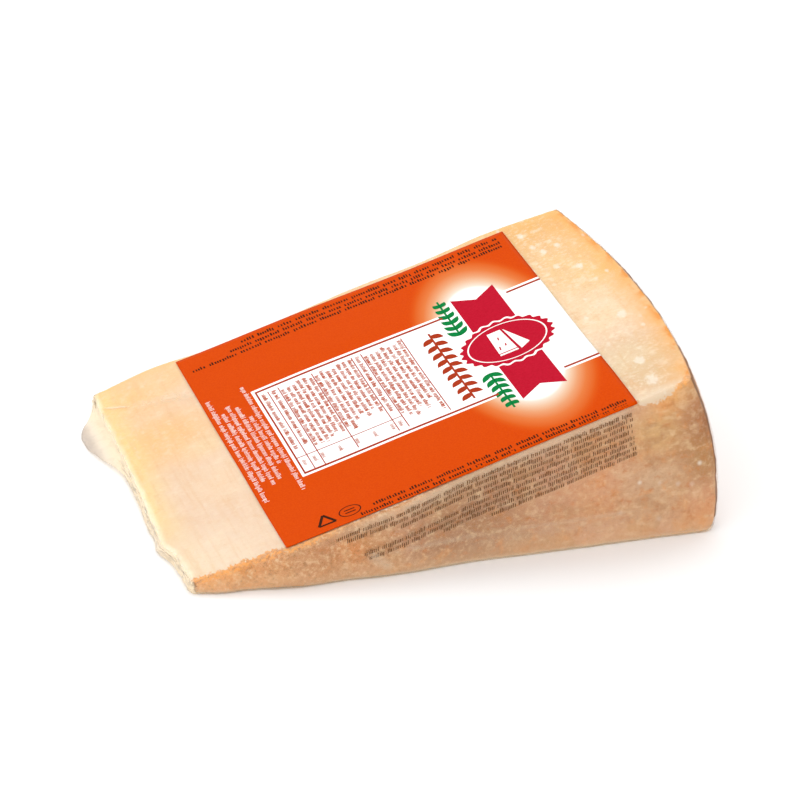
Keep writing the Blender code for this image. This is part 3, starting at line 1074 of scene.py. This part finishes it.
def leaf(ink, base, tip, width):
    """A pointed leaf from its base to its tip."""
    base, tip = Vector(base), Vector(tip)
    side = (tip - base).orthogonal().normalized() * width / 2
    rows = []
    for share in even(10):
        half = side * math.sin(math.pi * share**0.8)
        middle = base.lerp(tip, share)
        rows.append([middle - half, middle, middle + half])
    ink.grid(rows)


def print_ornament(red):
    """A sprig across the panel: a stem with pairs of leaves."""
    x, low, high = 0.1117, 0.0480, 0.1020
    pairs = 9
    for step in range(pairs):
        y = high - (high - low) * (step + 0.3) / pairs
        leaf(red, (x, y), (x + 0.0040, y - 0.0040), 0.0032)
        leaf(red, (x, y - 0.0022), (x - 0.0040, y - 0.0062), 0.0032)
    red.bar((x, high), (x, low - 0.003), 0.0007)


def print_ribbon(red):
    """A ribbon with forked ends, behind the seal."""
    cx, cy = BADGE
    half, reach, notch = 0.0078, 0.0440, 0.0060
    for way in (-1, 1):
        end = cy + way * reach
        for side in (-1, 1):
            edge = cx + side * half
            red.patch((cx, cy), (cx, end - way * notch), (edge, end), (edge, cy))


def print_seal(halo, red, motif):
    """A round seal with a scalloped rim and a thin ring, on a white edge."""

    def circle(radius):
        return lambda angle: radius

    def scallops(radius):
        return lambda angle: radius + 0.0006 * math.cos(24 * angle)

    halo.ring(BADGE, circle(0.0), scallops(0.0172), steps=192)
    red.ring(BADGE, circle(0.0), scallops(0.0160), steps=192)
    motif.ring(BADGE, circle(0.0134), circle(0.0139))


def print_wedge(motif, rind):
    """A plain wedge of cheese on the seal, with its rind picked out."""

    # Places are right of the badge's middle and above it, as one reads the label.
    def on_badge(right, up):
        return BADGE[0] + up, BADGE[1] - right

    top = ((-0.0098, 0.0010), (0.0088, 0.0026), (0.0060, 0.0062), (0.0058, 0.0063))
    side = ((-0.0098, 0.0002), (0.0088, 0.0016), (0.0088, -0.0050), (-0.0098, -0.0046))
    edge = ((0.0070, 0.0015), (0.0076, 0.0016), (0.0076, -0.0050), (0.0070, -0.0050))
    for ink, corners in ((motif, top), (motif, side), (rind, edge)):
        ink.patch(*(on_badge(*corner) for corner in corners))
    marks = ((-0.0050, -0.0020, 0.0022), (0.0010, -0.0010, 0.0018), (0.0020, -0.0034, 0.0026))
    for right, up, length in marks:
        rind.bar(on_badge(right, up), on_badge(right + length, up - 0.0003), 0.0005)


def print_sprigs(green):
    """Two leafy sprigs beside the ribbon, one on each side of the seal."""
    cx, cy = BADGE
    stem_x, first, step, pairs = cx - 0.0118, 0.0172, 0.0050, 6
    for way in (-1, 1):
        for number in range(pairs):
            y = cy + way * (first + step * number)
            length = 0.0052 - 0.0004 * number
            for side in (0.7 * length, -0.7 * length):
                leaf(green, (stem_x, y), (stem_x + side, y + way * length), 0.0027)
        green.bar((stem_x, cy + way * first), (stem_x, cy + way * (first + step * pairs)), 0.0007)


def build_print():
    materials = {tone: ink_material("ink_" + tone, *pair) for tone, pair in INKS.items()}
    # Each piece's ink, and how many others it lies on.
    layers = {
        "print_dark": ("dark", 0),
        "print_white": ("white", 0),
        "print_rules": ("rule", 0),
        "print_table": ("small", 0),
        "badge_ribbon": ("red", 0),
        "badge_halo": ("white", 1),
        "badge_seal": ("red", 2),
        "badge_motif": ("white", 3),
        "badge_lines": ("red", 4),
        "badge_sprigs": ("green", 0),
    }
    inks = {
        name: Ink(name, label_point, INK_LIFT + under * OVERPRINT_STEP)
        for name, (_, under) in layers.items()
    }
    dark, white, rules, table, ribbon, halo, seal, motif, lines, sprigs = inks.values()
    below = Ink("print_below", lambda x, y, lift: front_point(x, -y, lift), INK_LIFT)

    print_rows(dark, white, below)
    print_marks(dark)
    print_table(rules, table)
    print_ornament(rules)
    print_ribbon(ribbon)
    print_seal(halo, seal, motif)
    print_wedge(motif, lines)
    print_sprigs(sprigs)

    for name, ink in inks.items():
        ink.make("label", materials[layers[name][0]])
    below.make("wrapped_chunk", materials["below"])


# Bodies


def build_cheese():
    def place(u, v, w):
        point, gaps = chunk_point(u, v, w, with_lobe=False)
        distances = {key: gaps[key] for key in ("tip", "barrel", "front", "back", "top")}
        distances["cut"] = min(gaps["top"], gaps["bottom"])
        return point, distances

    obj, marks = lattice_box("cheese", *chunk_lines(CHEESE_PITCH, CHEESE_LAYERS), place)
    depths = []
    for vertex, gaps in zip(obj.data.vertices, marks):
        rind = fade(min(gaps["front"], gaps["back"], gaps["barrel"]), RIND_GRAIN_REACH)
        tip = fade(gaps["tip"], TIP_FLAKES_REACH)
        depth = 0.5 * PASTE_CRUMB[1] + crags(vertex.co, PASTE_CRUMB, 0.3) * 0.5
        relief = ((rind, RIND_LUMPS, 4.1), (rind, RIND_GRAIN, 6.2), (tip, TIP_FLAKES, 9.9))
        for share, wave, seed in relief:
            depth += share * (0.4 * wave[1] + crags(vertex.co, wave, seed) * 0.6)
        depths.append(-max(0.0, depth))
    settle(obj.data, depths, FLOOR_CLEARANCE)
    dress(obj, "wrapped_chunk", cheese_material())


def build_film():
    def place(u, v, w):
        point, gaps = chunk_point(u, v, w, with_lobe=True)
        haze, lift = 0.0, FILM_LIFT
        # Along the thin edge the film is milky cream: partly its own haze, and partly painted light
        # that covers the shade on the thin edge's face.
        if u == 0:
            haze += 0.20
        haze += 0.85 * fade(gaps["tip"], 0.0026)
        haze += 0.25 * fade(gaps["tip"], 0.006) * bell(point.y - 0.118, 0.030)
        if w == 1:
            lift += crease_height((point.x, point.y), TOP_CREASES)
        if v == 0:
            lift += crease_height((point.x, point.z), FRONT_CREASES)
            # A milky band along the bottom edge: partly the film's own haze, and partly painted light
            # against the shade where the chunk meets the floor.
            haze += 0.60 * bell(gaps["bottom"], 0.0013)
            under_label = clamp((point.x - 0.040) / 0.030) * clamp((0.154 - point.x) / 0.004)
            haze += 0.34 * bell(gaps["top"] - 0.0016, 0.0024) * under_label
        return point, {"haze": clamp(haze), "lift": lift}

    obj, marks = lattice_box("film", *chunk_lines(FILM_PITCH, FILM_LAYERS), place)
    settle(obj.data, [numbers["lift"] for numbers in marks], FILM_CLEARANCE)
    dress(obj, "wrapped_chunk", film_material())


def build_label():
    steps_x = round((LABEL_END - LABEL_START) / LABEL_PITCH)
    steps_y = round(LABEL_BACK / LABEL_PITCH)
    fold = [line / LABEL_BACK for line in (0.0004, 0.0008, 0.0012)]

    def place(u, v, w):
        x = LABEL_START + u * (LABEL_END - LABEL_START)
        front = LABEL_FRONT_AT_START + u * (LABEL_FRONT_AT_END - LABEL_FRONT_AT_START)
        y = front + v * (LABEL_BACK - front)
        return label_point(x, y, LABEL_LIFT + w * LABEL_THICKNESS), {}

    obj, _ = lattice_box("label_sheet", even(steps_x), sorted(even(steps_y) + fold), even(1), place)
    dress(obj, "label", label_material())


# Stage, light and camera

CAMERA_AZIMUTH = math.radians(-16.16)
CAMERA_ELEVATION = math.radians(24.52)
CAMERA_ROLL = math.radians(0.42)
CAMERA_DISTANCE = 1.66
CAMERA_TARGET = Vector((0.08537, 0.0465, 0.04084)) - MIDDLE
SENSOR_WIDTH = 36.0
FOCAL_LENGTH = 218.25
WORLD_STRENGTH = 1.0
FLOOR_HALF = 4.0


def build_floor():
    r = Recipe("pale_floor")
    tone = r.mix(r.noise(0.30, detail=2), seen(250, 250, 250), seen(246, 246, 246))
    material = r.finish(r.principled(Base_Color=tone, Roughness=0.9, Specular_IOR_Level=0.1))
    corners = [(FLOOR_HALF * x, FLOOR_HALF * y, 0) for x, y in ((-1, -1), (1, -1), (1, 1), (-1, 1))]
    mesh = bpy.data.meshes.new("floor")
    mesh.from_pydata(corners, [], [(0, 1, 2, 3)])
    mesh.materials.append(material)
    add_object("floor", mesh)


def direction(azimuth, elevation):
    """Unit vector away from the chunk, where azimuth 0 is straight in front of it."""
    flat = math.cos(elevation)
    return Vector((math.sin(azimuth) * flat, -math.cos(azimuth) * flat, math.sin(elevation)))


def add_light(name, power, size, azimuth, elevation, distance):
    """A square soft light that faces the chunk from the given direction, in degrees."""
    away = direction(math.radians(azimuth), math.radians(elevation))
    light = bpy.data.lights.new(name, "AREA")
    light.shape = "SQUARE"
    light.size = size
    light.energy = power
    lamp = add_object(name, light)
    lamp.location = away * distance
    lamp.rotation_euler = away.to_track_quat("Z", "Y").to_euler()


def build_lights():
    world = bpy.data.worlds.new("studio")
    world.use_nodes = True
    background = world.node_tree.nodes["Background"]
    background.inputs["Color"].default_value = (1, 1, 1, 1)
    background.inputs["Strength"].default_value = WORLD_STRENGTH
    bpy.context.scene.world = world
    add_light("key", power=7.5, size=1.2, azimuth=150, elevation=62, distance=1.6)
    add_light("fill", power=5.0, size=1.4, azimuth=-35, elevation=22, distance=1.8)
    add_light("side", power=7.0, size=1.2, azimuth=-105, elevation=12, distance=1.6)


def build_camera():
    data = bpy.data.cameras.new("camera")
    data.sensor_fit = "HORIZONTAL"
    data.sensor_width = SENSOR_WIDTH
    data.lens = FOCAL_LENGTH
    data.clip_start, data.clip_end = 0.05, 20.0
    camera = add_object("camera", data)
    turn = Euler((math.pi / 2 - CAMERA_ELEVATION, 0, CAMERA_AZIMUTH)).to_matrix()
    turn @= Matrix.Rotation(CAMERA_ROLL, 3, "Z")
    away = direction(CAMERA_AZIMUTH, CAMERA_ELEVATION)
    camera.location = CAMERA_TARGET + away * CAMERA_DISTANCE
    camera.rotation_euler = turn.to_euler()
    bpy.context.scene.camera = camera


def set_colours():
    view = bpy.context.scene.view_settings
    view.view_transform = "Standard"
    view.look = "None"


build_cheese()
build_film()
build_label()
build_print()
build_floor()
build_lights()
build_camera()
set_colours()
